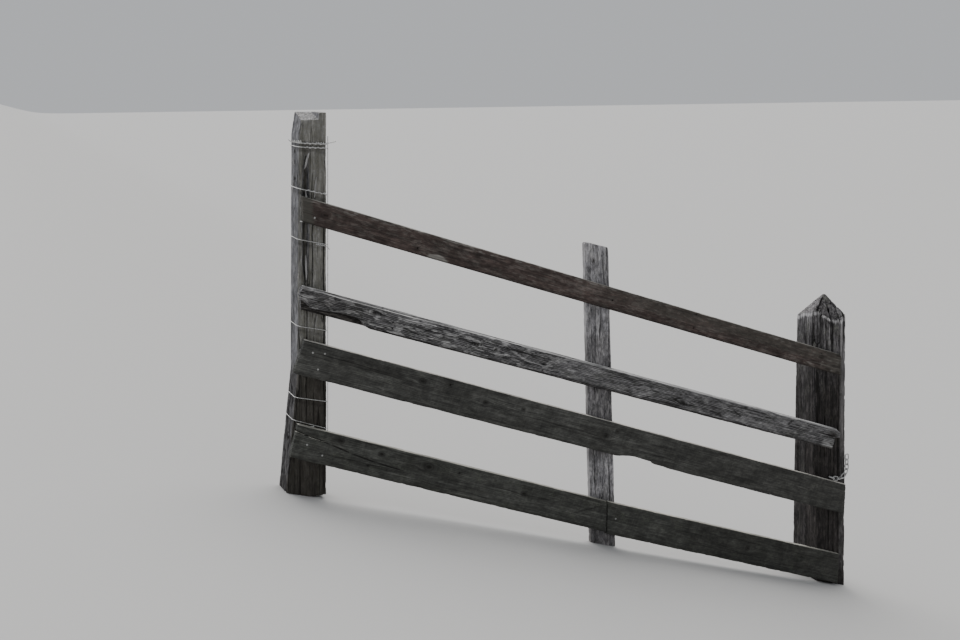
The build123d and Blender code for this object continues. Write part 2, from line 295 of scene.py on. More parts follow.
def ramp(value, low, high):
    """0 up to low, 1 from high on, and a smooth rise between."""
    share = np.clip((value - low) / (high - low), 0, 1)
    return share * share * (3 - 2 * share)


def fall(value, low, high):
    """1 up to low, 0 from high on, and a smooth fall between."""
    return 1 - ramp(value, low, high)


def band(value, low, high, soft):
    """1 between low and high, and 0 further out than the soft distance."""
    return ramp(value, low - soft, low) * fall(value, high, high + soft)


# Wood


class Wood:
    """A node of the frame, remeshed in line with its grain, with what has worn it away so far."""

    def __init__(self, node, seed, fine=(), fine_side="front"):
        self.node = node
        self.seed = seed
        turn = radians(rail_falls[node] if node in rail_falls else -90 - upright_leans[node])
        self.axes = np.array([(cos(turn), 0, -sin(turn)), (0, 1, 0), (sin(turn), 0, cos(turn))])
        self.mesh = self.remesh()
        self.put(read_vectors(self.mesh.vertices, "co") * (cell_along / cell_across, 1, 1))
        self.measure()
        if fine:
            self.refine(fine, fine_side)
            self.measure()
        self.grain = self.points.copy()
        self.worn = np.zeros(len(self.start))
        self.marks = {name: np.zeros(len(self.start)) for name in mark_names}
        self.front = self.side("front")
        self.left = self.side("left")

    def remesh(self):
        """The node's mesh, turned to have its grain along X, in cells that are long that way."""
        mesh = bpy.data.objects[self.node].data.copy()
        shrink = cell_across / cell_along
        turn = Matrix(self.axes.tolist()).to_4x4()
        mesh.transform(Matrix.Diagonal((shrink, 1, 1, 1)) @ turn)
        weld(mesh)
        draft = new_object("draft", mesh)
        cells = draft.modifiers.new("cells", "REMESH")
        cells.mode = "VOXEL"
        cells.voxel_size = cell_across * MM
        graph = bpy.context.evaluated_depsgraph_get()
        made = bpy.data.meshes.new_from_object(draft.evaluated_get(graph))
        bpy.data.objects.remove(draft)
        return made

    def put(self, co):
        self.mesh.vertices.foreach_set("co", np.ascontiguousarray(co, np.float32).ravel())
        self.mesh.update()

    def measure(self):
        """Each point's place on the wood, and the way it faces."""
        co = read_vectors(self.mesh.vertices, "co")
        self.normals = read_vectors(self.mesh.vertex_normals, "vector")
        self.low = co.min(axis=0)
        self.high = co.max(axis=0)
        self.length, self.depth, self.width = (self.high - self.low) / MM
        self.along = (co[:, 0] - self.low[0]) / MM
        self.deep = (co[:, 1] - self.low[1]) / MM
        self.below = (self.high[2] - co[:, 2]) / MM
        self.points = np.column_stack((self.along, self.deep, self.below))
        self.start = co

    def refine(self, places, side):
        """Cut the long cells near these places on one side into shorter ones."""
        ends = np.empty(len(self.mesh.edges) * 2, np.int32)
        self.mesh.edges.foreach_get("vertices", ends)
        first, second = ends.reshape(-1, 2).T
        long_way = np.abs(self.along[first] - self.along[second]) > cell_along / 2
        facing = self.side(side)[first] > 0.5
        across = self.across(side)
        near = np.zeros(len(first), bool)
        for along, below, reach in places:
            gap = np.hypot((self.along[first] - along) / 1.4, across[first] - below)
            near |= gap < reach + cell_along
        shape = bmesh.new()
        shape.from_mesh(self.mesh)
        shape.edges.ensure_lookup_table()
        picked = [shape.edges[int(number)] for number in np.nonzero(near & long_way & facing)[0]]
        bmesh.ops.subdivide_edges(shape, edges=picked, cuts=fine_cuts, use_grid_fill=True)
        shape.to_mesh(self.mesh)
        shape.free()

    def noise(self, size, seed):
        """Noise over the wood, with lumps of that size along, in from the front and across."""
        return noise(self.grain, size, self.seed + seed)

    def side(self, name):
        """How much each point faces one way, from 0 to 1."""
        axis, sign = sides[name]
        return ramp(self.normals[:, axis] * sign, 0.35, 0.8)

    def across(self, side):
        """How far each point lies across one side."""
        return self.below if side in ("front", "back") else self.deep

    def from_left_end(self):
        """How far each point of a rail lies from its upright left end."""
        return self.along - self.below * tan(radians(rail_falls[self.node]))

    def before(self, full, none):
        """1 up to one distance along the wood, and 0 past another."""
        return fall(self.along, full, none)

    def after(self, none, full):
        """0 up to one distance along the wood, and 1 past another."""
        return ramp(self.along, none, full)

    def between(self, start, end, soft):
        """1 between two distances along the wood, and 0 further out than the soft distance."""
        return band(self.along, start, end, soft)

    def near(self, place, reach, side="front"):
        """How near each point is to a place on one side, from 0 to 1."""
        along = (self.along - place[0]) / reach[0]
        across = (self.across(side) - place[1]) / reach[1]
        return np.exp(-(along**2) - across**2) * self.side(side)

    def wear(self, amount):
        """Take wood away, to that depth at each point."""
        self.worn = self.worn + amount

    def mark(self, name, *amounts):
        """Colour the wood: dark, stain, pale, moss or flaky. The strongest amount counts."""
        for amount in amounts:
            self.marks[name] = np.maximum(self.marks[name], amount)

    def where(self, place, out=0.0):
        """A place on the front face in the scene's own axes, that far out of it."""
        along, below = place
        x = self.low[0] + along * MM
        y = self.low[1] - out * MM
        z = self.high[2] - below * MM
        return Vector(self.axes.T @ np.array((x, y, z)))

    def finish(self, slot, material=None):
        """Wear the mesh and put it in the place of its node, in its slot's material or another."""
        self.put(self.start - self.normals * (self.worn * MM)[:, None])
        save(self.mesh, "grain", self.grain * MM)
        save(self.mesh, "end", np.abs(self.normals[:, 0]) ** 2)
        for name, amount in self.marks.items():
            save(self.mesh, name, np.clip(amount, 0, 1))
        self.mesh.transform(Matrix(self.axes.tolist()).transposed().to_4x4())
        dress(self.mesh, material or wood_material(slot))
        piece = new_object(self.node + "_worn", self.mesh)
        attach(piece, "root")
        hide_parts(self.node)


def dress(mesh, material):
    """Shade a mesh smooth, with one material."""
    mesh.polygons.foreach_set("use_smooth", np.ones(len(mesh.polygons), bool))
    mesh.materials.clear()
    mesh.materials.append(material)


def weld(mesh):
    """Join the points that the mesh has once for each face."""
    shape = bmesh.new()
    shape.from_mesh(mesh)
    bmesh.ops.remove_doubles(shape, verts=shape.verts, dist=0.01 * MM)
    shape.to_mesh(mesh)
    shape.free()


def read_vectors(items, name):
    values = np.empty(len(items) * 3, np.float32)
    items.foreach_get(name, values)
    return values.reshape(-1, 3).astype(float)


def save(mesh, name, values):
    """Keep a number or a vector for each point."""
    kind, field = ("FLOAT_VECTOR", "vector") if values.ndim > 1 else ("FLOAT", "value")
    layer = mesh.attributes.new(name, kind, "POINT")
    layer.data.foreach_set(field, np.ascontiguousarray(values, np.float32).ravel())


# How wood wears, with painted shade in its cracks and a painted highlight on top edges


def weather(wood, fibre=0.3, swell=0.7, edge=2.5, edge_reach=7, end=2.5):
    """Raised grain, a slow swell of the faces, worn and chipped edges and rough ends."""
    grain = wood.noise((120, 2.6, 2.6), 1) + 0.6 * wood.noise((60, 1.9, 1.9), 2)
    wood.wear(fibre * (1 + grain) / 2)
    wood.wear(swell * (1 + wood.noise((190, 28, 28), 3)) / 2)
    near_side = np.minimum(wood.below, wood.width - wood.below)
    near_face = np.minimum(wood.deep, wood.depth - wood.deep)
    near = np.exp(-(near_side**2 + near_face**2) / edge_reach**2)
    chips = ramp(wood.noise((22, 30, 30), 4) + 0.5 * wood.noise((9, 9, 9), 5), 0.15, 0.9)
    wood.wear(edge * near * (0.3 + chips + 0.3 * wood.noise((80, 40, 40), 6)))
    rough = 0.5 + 0.5 * wood.noise((50, 2.4, 2.4), 7) + 0.4 * wood.noise((50, 7, 7), 8)
    wood.wear(end * rough * ramp(np.abs(wood.normals[:, 0]), 0.5, 0.9))


def furrows(wood, amount, size, depth, cover=0.16, seed=0, tone=0.8):
    """Grooves that branch along the grain, where smooth noise crosses nought, with painted shade in
    them.
    """
    line = np.abs(wood.noise(size, 80 + seed)) / cover
    groove = fall(line, 0, 1) * amount
    wood.wear(depth * groove)
    wood.mark("dark", tone * ramp(groove, 0.25, 0.9))


def crack(wood, start, end, width, depth, wobble=2.0, seed=0, tone=1.0, side="front"):
    """A crack on one side, from start to end, each so far along and across that side, with painted
    shade inside it.
    """
    run = (wood.along - start[0]) / (end[0] - start[0])
    inside = (run > 0) & (run < 1)
    taper = np.sqrt(np.clip(4 * run * (1 - run), 0, 1))
    slow = wood.noise((70, 1e6, 1e6), 40 + seed)
    quick = wood.noise((18, 1e6, 1e6), 60 + seed)
    middle = start[1] + (end[1] - start[1]) * run + wobble * (slow + 0.4 * quick)
    gap = width / 2 * (0.35 + 0.65 * taper) + cell_across * 0.6
    share = np.clip(1 - np.abs(wood.across(side) - middle) / gap, 0, 1) * inside * wood.side(side)
    wood.wear(depth * taper * ramp(share, 0, 0.7))
    wood.mark("dark", tone * ramp(share * taper, 0.1, 0.6))


def fine_cracks(wood, count, side, length=(120, 420), width=(1.0, 2.2), depth=(1.5, 4.0), tone=1.0):
    """Drying cracks that run with the grain, scattered over one side."""
    dice = np.random.default_rng(wood.seed * 31 + len(side))
    across = wood.width if side in ("front", "back") else wood.depth
    for number in range(count):
        span = dice.uniform(*length)
        begin = dice.uniform(-0.1 * span, wood.length - 0.9 * span)
        place = dice.uniform(0.06, 0.94) * across
        far = (begin + span, place + dice.uniform(-4, 4))
        gap = dice.uniform(*width)
        deep = dice.uniform(*depth)
        crack(wood, (begin, place), far, gap, deep, seed=number, tone=tone, side=side)


def hole(wood, place, radius=3.0, depth=5.0, side="front"):
    """A nail hole or worm hole, with painted shade inside it and the wood stained round it by what has
    run from it.
    """
    inside = ramp(wood.near(place, (radius, radius), side), 0.2, 0.7)
    wood.wear(depth * inside)
    wood.mark("dark", inside)
    wood.mark("stain_and_shade", 0.55 * wood.near(place, (radius * 4, radius * 2.2), side))


def holes_in(wood, holes, side="front", depth=5.0):
    """Holes, each with its place and the reach of the fine mesh round it."""
    for along, across, reach in holes:
        hole(wood, (along, across), reach / hole_share, depth, side)


def knot(wood, place, radius, tone=0.8):
    """A knot in the front: grain led round it, a dark ring, and a centre that stands proud."""
    across = wood.grain[:, 2] - place[1]
    reach = ((wood.grain[:, 0] - place[0]) / 3) ** 2 + across**2
    wood.grain[:, 2] -= across * 0.9 * radius**2 / np.maximum(reach, radius**2)
    away = np.hypot((wood.along - place[0]) / 1.3, wood.below - place[1]) / radius
    ring = np.exp(-(((away - 1) / 0.28) ** 2)) * wood.front
    centre = fall(away, 0.4, 1.0) * wood.front
    wood.wear(0.9 * ring - 0.5 * centre)
    wood.mark("stain_and_shade", tone * centre)
    wood.mark("dark", 0.7 * tone * ring)
    # A split along the grain through the centre, with painted shade in it
    split = np.exp(-(((wood.below - place[1]) / 1.6) ** 2)) * centre
    wood.wear(2.0 * split)
    wood.mark("dark", tone * split)


def top_edge_highlight(wood, edge, evenness, lump=60, strength=1.0):
    """A painted highlight on the top of a rail, where the sky lights it, and on the edge of the front
    that goes with it.
    """
    lip = strength * np.maximum(wood.side("top"), edge)
    wood.mark("pale", lip * (evenness + (1 - evenness) * wood.noise((lump, 9, 9), 11)))


# Materials


def add(tree, kind, inputs=None, **settings):
    """A node with its inputs, each a value or another node's output. Gives its first output."""
    node = tree.nodes.new("ShaderNode" + kind)
    for key, value in settings.items():
        setattr(node, key, value)
    for key, value in (inputs or {}).items():
        plug(tree, node.inputs[key], value)
    return node.outputs[0]


def plug(tree, socket, value):
    """Give a socket a value, or link another node's output to it."""
    if isinstance(value, bpy.types.NodeSocket):
        tree.links.new(value, socket)
    else:
        socket.default_value = value


def sums(tree, operation, first, second, kind="Math"):
    return add(tree, kind, {0: first, 1: second}, operation=operation)


def vector_sums(tree, operation, first, second):
    return sums(tree, operation, first, second, "VectorMath")


def weighed(tree, *pairs):
    """The sum of some values, each times its weight."""
    total = 0.0
    for value, weight in pairs:
        total = sums(tree, "ADD", sums(tree, "MULTIPLY", value, weight), total)
    return total


def mixed(tree, share, first, second, blend="MIX"):
    """Two colours, mixed by the share of the second one."""
    node = tree.nodes.new("ShaderNodeMix")
    node.data_type = "RGBA"
    node.blend_type = blend
    for key, value in ((0, share), (6, first), (7, second)):
        plug(tree, node.inputs[key], value)
    return node.outputs[2]


def covered(tree, colour, cover, mark, share):
    """A colour with a cover where a mark is, up to that share of it."""
    return mixed(tree, sums(tree, "MULTIPLY", mark, share), colour, cover)


def stops(tree, value, *colours):
    """A colour ramp. Each stop is its place and its colour, or its place and a grey."""
    node = tree.nodes.new("ShaderNodeValToRGB")
    tree.links.new(value, node.inputs[0])
    ramp_stops = node.color_ramp.elements
    while len(ramp_stops) < len(colours):
        ramp_stops.new(0.5)
    for element, (place, colour) in zip(ramp_stops, colours):
        element.position = place
        element.color = (colour,) * 3 + (1,) if isinstance(colour, float) else (*colour, 1)
    return node.outputs[0]


def stretched(tree, vector, stretch, detail, roughness):
    """Noise with lumps stretched along the axes."""
    place = vector_sums(tree, "MULTIPLY", vector, stretch)
    inputs = {"Vector": place, "Scale": 1.0, "Detail": detail, "Roughness": roughness}
    return add(tree, "TexNoise", inputs)


def attribute(tree, name, output="Fac"):
    node = tree.nodes.new("ShaderNodeAttribute")
    node.attribute_name = name
    return node.outputs[output]


def broken(tree, name, texture, amount=0.5):
    """A mark on the wood, with its edge broken up by a texture."""
    mark = attribute(tree, name)
    shifted = sums(tree, "MULTIPLY", sums(tree, "SUBTRACT", texture, 0.5), 2 * amount)
    marked = stops(tree, mark, (0.0, 0.0), (0.15, 1.0))
    rough = sums(tree, "ADD", mark, sums(tree, "MULTIPLY", shifted, marked))
    return stops(tree, rough, (0.05, 0.0), (0.95, 1.0))


def finish_shader(tree, shader, bump, inputs):
    """Plug in a shader's inputs, with a bump of that height, strength and distance."""
    normal = add(tree, "Bump", dict(zip(("Height", "Strength", "Distance"), bump)))
    for name, value in {**inputs, "Normal": normal}.items():
        plug(tree, shader.inputs[name], value)


def new_material(name):
    material = bpy.data.materials.new(name)
    material.use_nodes = True
    tree = material.node_tree
    tree.nodes.clear()
    shader = tree.nodes.new("ShaderNodeBsdfPrincipled")
    output = tree.nodes.new("ShaderNodeOutputMaterial")
    tree.links.new(shader.outputs[0], output.inputs[0])
    return material, tree, shader


def shades(colour, spread):
    """Four tones of a wood, from its darkest fibre to its palest."""
    return [tuple(part * (1 + gain * spread) for part in colour) for gain in tone_gains]


def grain_place(tree, shift):
    """The place on the wood, bent a little so that the grain wanders."""
    place = vector_sums(tree, "ADD", attribute(tree, "grain", "Vector"), (shift, shift, shift))
    bend = vector_sums(tree, "MULTIPLY", stretched(tree, place, *grain_bend), grain_bend_reach)
    return vector_sums(tree, "ADD", place, bend)


def wood_parts(tree, look):
    """The textures of a wood, with its grain, open pores and flakes."""
    place = grain_place(tree, look["shift"])
    parts = {name: stretched(tree, place, *settings) for name, settings in wood_textures.items()}
    ring_place = vector_sums(tree, "MULTIPLY", place, ring_stretch)
    parts["ring"] = add(tree, "TexWave", {"Vector": ring_place, **ring_shape}, bands_direction="Z")
    grain = weighed(tree, *((parts[name], weight) for name, weight in grain_weights.items()))
    for name, weight in line_weights.items():
        line = sums(tree, "SUBTRACT", parts[name], 0.5)
        grain = weighed(tree, (grain, 1.0), (line, weight * look[name]))
    parts["grain"] = grain
    parts["open_pore"] = stops(tree, parts["pore"], *open_pore_stops)
    flaky = attribute(tree, "flaky")
    for name, places in flake_stops.items():
        parts[name] = sums(tree, "MULTIPLY", stops(tree, parts["flake"], *places), flaky)
    return parts


def bare_wood(tree, parts, look, pale_tones):
    """The wood's own tones, with its open pores, lichen, flakes and grit."""
    spread = look["spread"]
    darkest = (*shades(look["tone"], min(spread * 1.2, 1.5))[0], 1)
    lichen = stops(tree, sums(tree, "MULTIPLY", parts["patch"], parts["fleck"]), *lichen_stops)
    layers = (
        (darkest, parts["open_pore"], 0.7 * min(spread, 1.0)),
        ((*look["moss"], 1), lichen, look["lichen"]),
        (pale_tones, parts["flaked"], 0.8),
        (darkest, parts["flake_edge"], 0.75),
    )
    colour = stops(tree, parts["grain"], *zip(tone_places, shades(look["tone"], spread)))
    for cover, mark, share in layers:
        colour = covered(tree, colour, cover, mark, share)
    grit = look["grit"]
    gritted = stops(tree, parts["grit"], (0.38, 1 - grit), (0.62, 1 + grit))
    colour = mixed(tree, 1.0, colour, gritted, "MULTIPLY")
    return mixed(tree, 1.0, colour, stops(tree, parts["cloud"], *cloud_stops), "MULTIPLY")


def marked_wood(tree, parts, look, pale_tones, colour):
    """The wood's colour with the marks that its mesh keeps."""
    # Worn and bleached wood, and painted highlights on top edges and lit sides
    colour = mixed(tree, broken(tree, "pale", parts["strand"]), colour, pale_tones)
    moss = broken(tree, "moss", parts["fleck"], 1.0)
    colour = covered(tree, colour, (*look["moss"], 1), moss, 0.75)
    # Real stains, and painted shade
    stain_and_shade = broken(tree, "stain_and_shade", parts["streak"], 0.3)
    colour = mixed(tree, stain_and_shade, colour, mixed(tree, 1.0, colour, stain_and_shade_tone, "MULTIPLY"))
    speckle = stops(tree, parts["fleck"], *speckle_stops)
    speckled = mixed(tree, 1.0, colour, speckle, "MULTIPLY")
    colour = covered(tree, colour, speckled, attribute(tree, "end"), 0.8)
    # Dark knots, and painted shade in cracks, holes, grooves and below wires
    return covered(tree, colour, dark_and_shade_tone, attribute(tree, "dark"), 0.9)


def wood_material(name):
    """Weathered wood, with the looks of that name."""
    look = {**plain_wood, **wood_looks[name]}
    material, tree, shader = new_material(name)
    parts = wood_parts(tree, look)
    pale_tones = stops(tree, parts["grain"], *zip(tone_places, shades(look["pale"], pale_spread)))
    colour = bare_wood(tree, parts, look, pale_tones)
    colour = marked_wood(tree, parts, look, pale_tones, colour)
    roughness = weighed(tree, (parts["fibre"], 0.25), (0.72, 1.0))
    height = weighed(tree, *((parts[name], weight) for name, weight in heights.items()))
    for name, weight in line_heights.items():
        height = weighed(tree, (height, 1.0), (parts[name], weight * look[name]))
    inputs = {"Base Color": colour, "Roughness": roughness, "Specular IOR Level": wood_gloss}
    finish_shader(tree, shader, (height, 0.8, 0.0012), inputs)
    return material


def zinc_material(name):
    """Dull mottled zinc, with spots of rust."""
    look = zinc_looks[name]
    material, tree, shader = new_material(name)
    place = add(tree, "NewGeometry")
    mottle = add(tree, "TexNoise", {"Vector": place, **zinc_mottle})
    dull = tuple(zinc_dull_share * part for part in look["tone"])
    colour = stops(tree, mottle, (0.35, dull), (0.65, look["tone"]))
    patch = add(tree, "TexNoise", {"Vector": place, **rust_patches})
    spread = look["rust"] * 0.3
    rust = stops(tree, patch, (0.62 - spread, 0.0), (0.75 - spread, 1.0))
    inputs = {
        "Base Color": mixed(tree, rust, colour, rust_tone),
        "Metallic": sums(tree, "SUBTRACT", 0.85, sums(tree, "MULTIPLY", rust, 0.8)),
        "Roughness": weighed(tree, (mottle, 0.35), (0.38, 1.0)),
    }
    finish_shader(tree, shader, (mottle, 0.35, 0.0004), inputs)
    return material


# The stage


def ramp_height(x):
    """The ground's height, level past both ends of the ramp."""

    def soft(value):
        return ramp_round * np.log1p(np.exp(-np.abs(value) / ramp_round)) + np.maximum(value, 0)

    x = ramp_left + soft(x - ramp_left) - soft(x - ramp_right)
    return (ground_meets - x) * tan(radians(ground_slope))


def make_ground():
    xs = np.concatenate((ground_left, np.linspace(*ground_middle), ground_right))
    ys = (-ground_reach, ground_reach)
    points = [(x, y, z) for x, z in zip(xs, ramp_height(xs)) for y in ys]
    faces = [(2 * n, 2 * n + 2, 2 * n + 3, 2 * n + 1) for n in range(len(xs) - 1)]
    mesh = bpy.data.meshes.new("ground")
    mesh.from_pydata(points, [], faces)
    material, _, shader = new_material("pale_ground")
    shader.inputs["Base Color"].default_value = ground_tone
    shader.inputs["Roughness"].default_value = ground_roughness
    dress(mesh, material)
    ground = new_object("ground", mesh)


def make_lights():
    world = bpy.data.worlds.new("studio")
    world.use_nodes = True
    background = world.node_tree.nodes["Background"]
    background.inputs["Color"].default_value = sky_tone
    background.inputs["Strength"].default_value = sky_strength
    bpy.context.scene.world = world
    for name, settings in wide_lights.items():
        data = bpy.data.lights.new(name, "SUN")
        data.energy = settings["strength"]
        data.color = settings["tone"]
        data.angle = radians(light_spread)
        light = new_object(name, data)
        light.rotation_euler = (radians(settings["height"] - 90), 0, radians(-settings["turn"]))


# Splinters, nails and wires


def new_piece(name, shape, material):
    mesh = bpy.data.meshes.new(name)
    shape.to_mesh(mesh)
    shape.free()
    dress(mesh, material)
    piece = new_object(name, mesh)
    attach(piece, "root")
    return piece


def join_rings(shape, rings):
    """Faces between rings of points. A ring of one point closes the shape."""
    for near, far in zip(rings, rings[1:]):
        count = max(len(near), len(far))
        for n in range(count):
            m = (n + 1) % count
            if len(near) == 1:
                shape.faces.new((near[0], far[n], far[m]))
            elif len(far) == 1:
                shape.faces.new((near[n], far[0], near[m]))
            else:
                shape.faces.new((near[n], far[n], far[m], near[m]))


def add_splinter(shape, wood, start, end, width, lift):
    """A sliver of wood that has lifted off a front face."""
    rings = []
    for share, wide, out in splinter_outline:
        along = start[0] + (end[0] - start[0]) * share
        below = start[1] + (end[1] - start[1]) * share
        half = width * wide / 2
        rise = out * lift
        left, right = (-half, splinter_root), (half, splinter_root)
        corners = (left, (-half * 0.6, rise), (half * 0.5, rise + 0.5), right)
        places = [wood.where((along, below + side), height) for side, height in corners]
        rings.append([shape.verts.new(place) for place in places])
    join_rings(shape, rings)
    for ring in (rings[0], rings[-1]):
        shape.faces.new(ring)


def make_splinters(wood, splinters, material):
    """The netting post's splinters, with the marks that its material reads."""
    shape = bmesh.new()
    for start, end, width, lift in splinters:
        add_splinter(shape, wood, start, end, width, lift)
    bmesh.ops.recalc_face_normals(shape, faces=shape.faces)
    piece = new_piece("netting_post_splinters", shape, material)
    co = read_vectors(piece.data.vertices, "co")
    save(piece.data, "grain", (wood.axes @ co.T).T)
    for name in ("end", *mark_names):
        save(piece.data, name, np.full(len(co), splinter_pale if name == "pale" else 0.0))


def add_nail(shape, place, tilt):
    """A nail with a low domed head, driven in along Y."""
    rings = []
    for radius, y in nail_outline:
        count = nail_sides if radius else 1
        angles = [2 * pi * n / nail_sides for n in range(count)]
        points = [Vector((radius * cos(angle), y, radius * sin(angle))) for angle in angles]
        rings.append([shape.verts.new(place + tilt @ point * MM) for point in points])
    join_rings(shape, rings)


def make_nails(metal):
    """The nails of the rails, each a little askew."""
    dice = np.random.default_rng(5)
    shape = bmesh.new()
    for wood, place in nail_places:
        nod = Matrix.Rotation(dice.uniform(-nail_tilt, nail_tilt), 3, "X")
        lean = Matrix.Rotation(dice.uniform(-nail_tilt, nail_tilt), 3, "Z")
        add_nail(shape, wood.where(place, nail_out), nod @ lean)
    new_piece("rail_nails", shape, metal)


def add_tube(shape, points, radius):
    """A wire along some points, with closed ends."""
    points = [Vector(point) * MM for point in points]
    turned = Vector((0.3, 0.2, 1))
    rings = [[shape.verts.new(points[0])]]
    for number, point in enumerate(points):
        run = points[min(number + 1, len(points) - 1)] - points[max(number - 1, 0)]
        run.normalize()
        turned = (turned - run * run.dot(turned)).normalized()
        other = run.cross(turned)
        ring = []
        for n in range(wire_sides):
            angle = 2 * pi * n / wire_sides
            out = turned * cos(angle) + other * sin(angle)
            ring.append(shape.verts.new(point + out * radius * MM))
        rings.append(ring)
    rings.append([shape.verts.new(points[-1])])
    join_rings(shape, rings)


def curl(start, end, radius, turns, flat=0.8):
    """Points of a wire wound round the line from start to end."""
    start = Vector(start)
    run = Vector(end) - start
    out = Vector((0, -1, 0))
    up = run.cross(out).normalized()
    points = []
    count = int(turns * turn_steps)
    for n in range(count + 1):
        angle = 2 * pi * turns * n / count
        middle = start + run * (n / count)
        points.append(middle + up * (radius * cos(angle)) + out * (radius * flat * sin(angle)))
    return points


def make_wire_ends(metal):
    """The wound wires, wire ends and staples on the front of the left post."""
    shape = bmesh.new()
    wire_y = front_y - wire_out
    for height, slope, radius in wound_wires:
        ends = [(x, wire_y, height - (x - wound_from) * tan(radians(slope))) for x in wound_ends]
        add_tube(shape, curl(*ends, 2.2, 4, flat=0.6), radius)
    for (x, z), (far_x, far_z), coil, radius, tail in wire_ends:
        add_tube(shape, curl((x, wire_y, z), (far_x, wire_y, far_z), coil, 5), radius)
        add_tube(shape, [(across, wire_y - out, up) for across, out, up in tail], radius)
    for x, z in staples:
        bends = [(x + right, front_y + deep, z + up) for right, deep, up in staple_outline]
        add_tube(shape, bends, staple_wire)
    new_piece("wire_ends", shape, metal)


def finish_wires(wire, chain):
    """The frame's own wires and chain, with their zinc."""
    for name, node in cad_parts.items():
        for word, metal in (("wire", wire), ("strand", wire), ("chain", chain)):
            if word in name:
                node.data.materials.clear()
                node.data.materials.append(metal)


# The wooden pieces, each worn first and then coloured


def make_right_post():
    """The gate post, with its hollow four-sided point."""
    wood = Wood("right_post", 11)
    high = wood.after(820, 1180)
    weather(wood, fibre=0.9, swell=1.6, edge=4, edge_reach=12, end=3)
    furrows(wood, 0.35 + 0.65 * high, (330, 9, 9), 3.0, cover=0.09, tone=0.6)
    furrows(wood, high, (260, 16, 16), 4.0, cover=0.09, seed=3, tone=0.7)
    for side in ("front", "left", "right", "back"):
        fine_cracks(wood, 9, side, length=(200, 700), **post_cracks)
    open_edge(wood)
    crack(wood, (1250, 79), (960, 77), 12, 14, seed=2)
    crack(wood, (1250, 136), (1020, 134), 9, 10, seed=6)
    crack(wood, (1240, 26), (1010, 30), 9, 8, wobble=3, seed=7, side="left")
    open_ridge(wood)
    crack(wood, (1120, 112), (500, 106), 3, 7, wobble=4, seed=4)
    colour_right_post(wood)
    bleach_eave(wood)
    wood.finish("gate_post_wood")


def open_edge(wood):
    """The open crack along the post's front left edge, with painted shade in it."""
    wander = 2 + 2 * wood.noise((60, 900, 900), 20)
    gap = np.hypot(wood.below - wander, wood.deep - 2)
    line = fall(gap, 5.5, 9) * wood.between(700, 1215, 60)
    wood.mark("dark", line)
    wood.wear(7 * line)


def open_ridge(wood):
    """The crack that runs on up the ridge of the point, with painted shade in it."""
    start, end = (np.array(place) for place in ridge_crack)
    run = end - start
    share = np.clip((wood.points - start) @ run / (run @ run), 0, 0.8)
    gap = np.linalg.norm(wood.points - start - share[:, None] * run, axis=1)
    wood.mark("dark", fall(gap, 2.5, 6))
    wood.wear(5 * fall(gap, 2, 6))


def colour_right_post(wood):
    """Painted shade up to the point, a dark foot, a painted highlight on a strip at the right edge,
    and a dark tip.
    """
    right_strip = ramp(wood.below, 106, 122)
    wood.mark(
        "stain_and_shade",
        # Painted shade on the whole front, darkest below the point and less at the right strip
        wood.front * (0.16 + 0.84 * wood.before(820, 1130)) * (1 - 0.4 * right_strip),
        # Painted shade on the other sides below the point
        0.8 * (1 - wood.front) * wood.before(880, 1250),
        0.7 * wood.after(1252, 1276),
        # Painted shade on the left side near the front, below the second rail
        wood.left * fall(wood.deep, 70, 100) * wood.before(700, 760),
        0.9 * wood.before(40, 260),
    )
    # A painted highlight on the strip at the right edge, where the sky to the right lights it
    lit_right_strip = 0.3 * wood.front * right_strip * wood.between(620, 1150, 80)
    wood.mark("pale", lit_right_strip, 0.15 * wood.left * wood.after(1050, 1200))
    wood.mark("flaky", 0.15)


def bleach_eave(wood):
    """The pale line where the point begins, on the front and on the left side."""
    hollow = 29 * np.clip(1 - ((wood.below - 88) / 70) ** 2, 0, 1)
    height = wood.along + 5 * wood.noise((1e6, 13, 13), 14) - eave_height
    on_front = band(height + 0.24 * wood.below + hollow, *eave_reach) * fall(wood.deep, 5, 10)
    on_left = band(height + 0.32 * wood.deep, *eave_reach) * fall(wood.below, 5, 10)
    wood.mark("pale", 0.85 * np.maximum(on_front, on_left))


def make_left_post():
    """The netting post, furrowed low on its left, with holes near its top."""
    wood = Wood("left_post", 12, post_holes, "left")
    weather(wood, fibre=1.0, swell=1.5, edge=3.5, edge_reach=10, end=3)
    furrows(wood, wood.front + 0.5 * wood.left, (300, 9, 9), 2.0, cover=0.07, tone=0.65)
    furrows(wood, wood.front * wood.before(600, 800), (240, 13, 13), 5.0, cover=0.13, seed=3, tone=0.7)
    furrows(wood, wood.left, (150, 20, 20), 2.5, cover=0.05, seed=8, tone=0.6)
    furrows(wood, wood.left * wood.before(430, 560), (240, 13, 13), 6.0, cover=0.2, seed=5)
    for side in ("front", "right", "back"):
        fine_cracks(wood, 9, side, length=(200, 800), **post_cracks)
    fine_cracks(wood, 5, "left", length=(200, 600), width=(1.2, 2.0), depth=(1.5, 3))
    holes_in(wood, post_holes, "left", 6)
    crack(wood, (1210, 69), (690, 70), 4, 6, wobble=4, seed=1, tone=0.5)
    colour_left_post(wood)
    shadow_below_wires(wood)
    material = wood_material("netting_post_wood")
    middle = wood.width - 52
    splinters = (
        ((1136, middle - 27), (1192, middle - 13), 9, 3),
        ((1004, middle - 15), (1066, middle - 25), 8, 3),
        ((1040, middle + 6), (1110, middle + 12), 6, 2),
        ((760, middle - 20), (850, middle - 24), 7, 3),
    )
    make_splinters(wood, splinters, material)
    wood.finish("netting_post_wood", material)


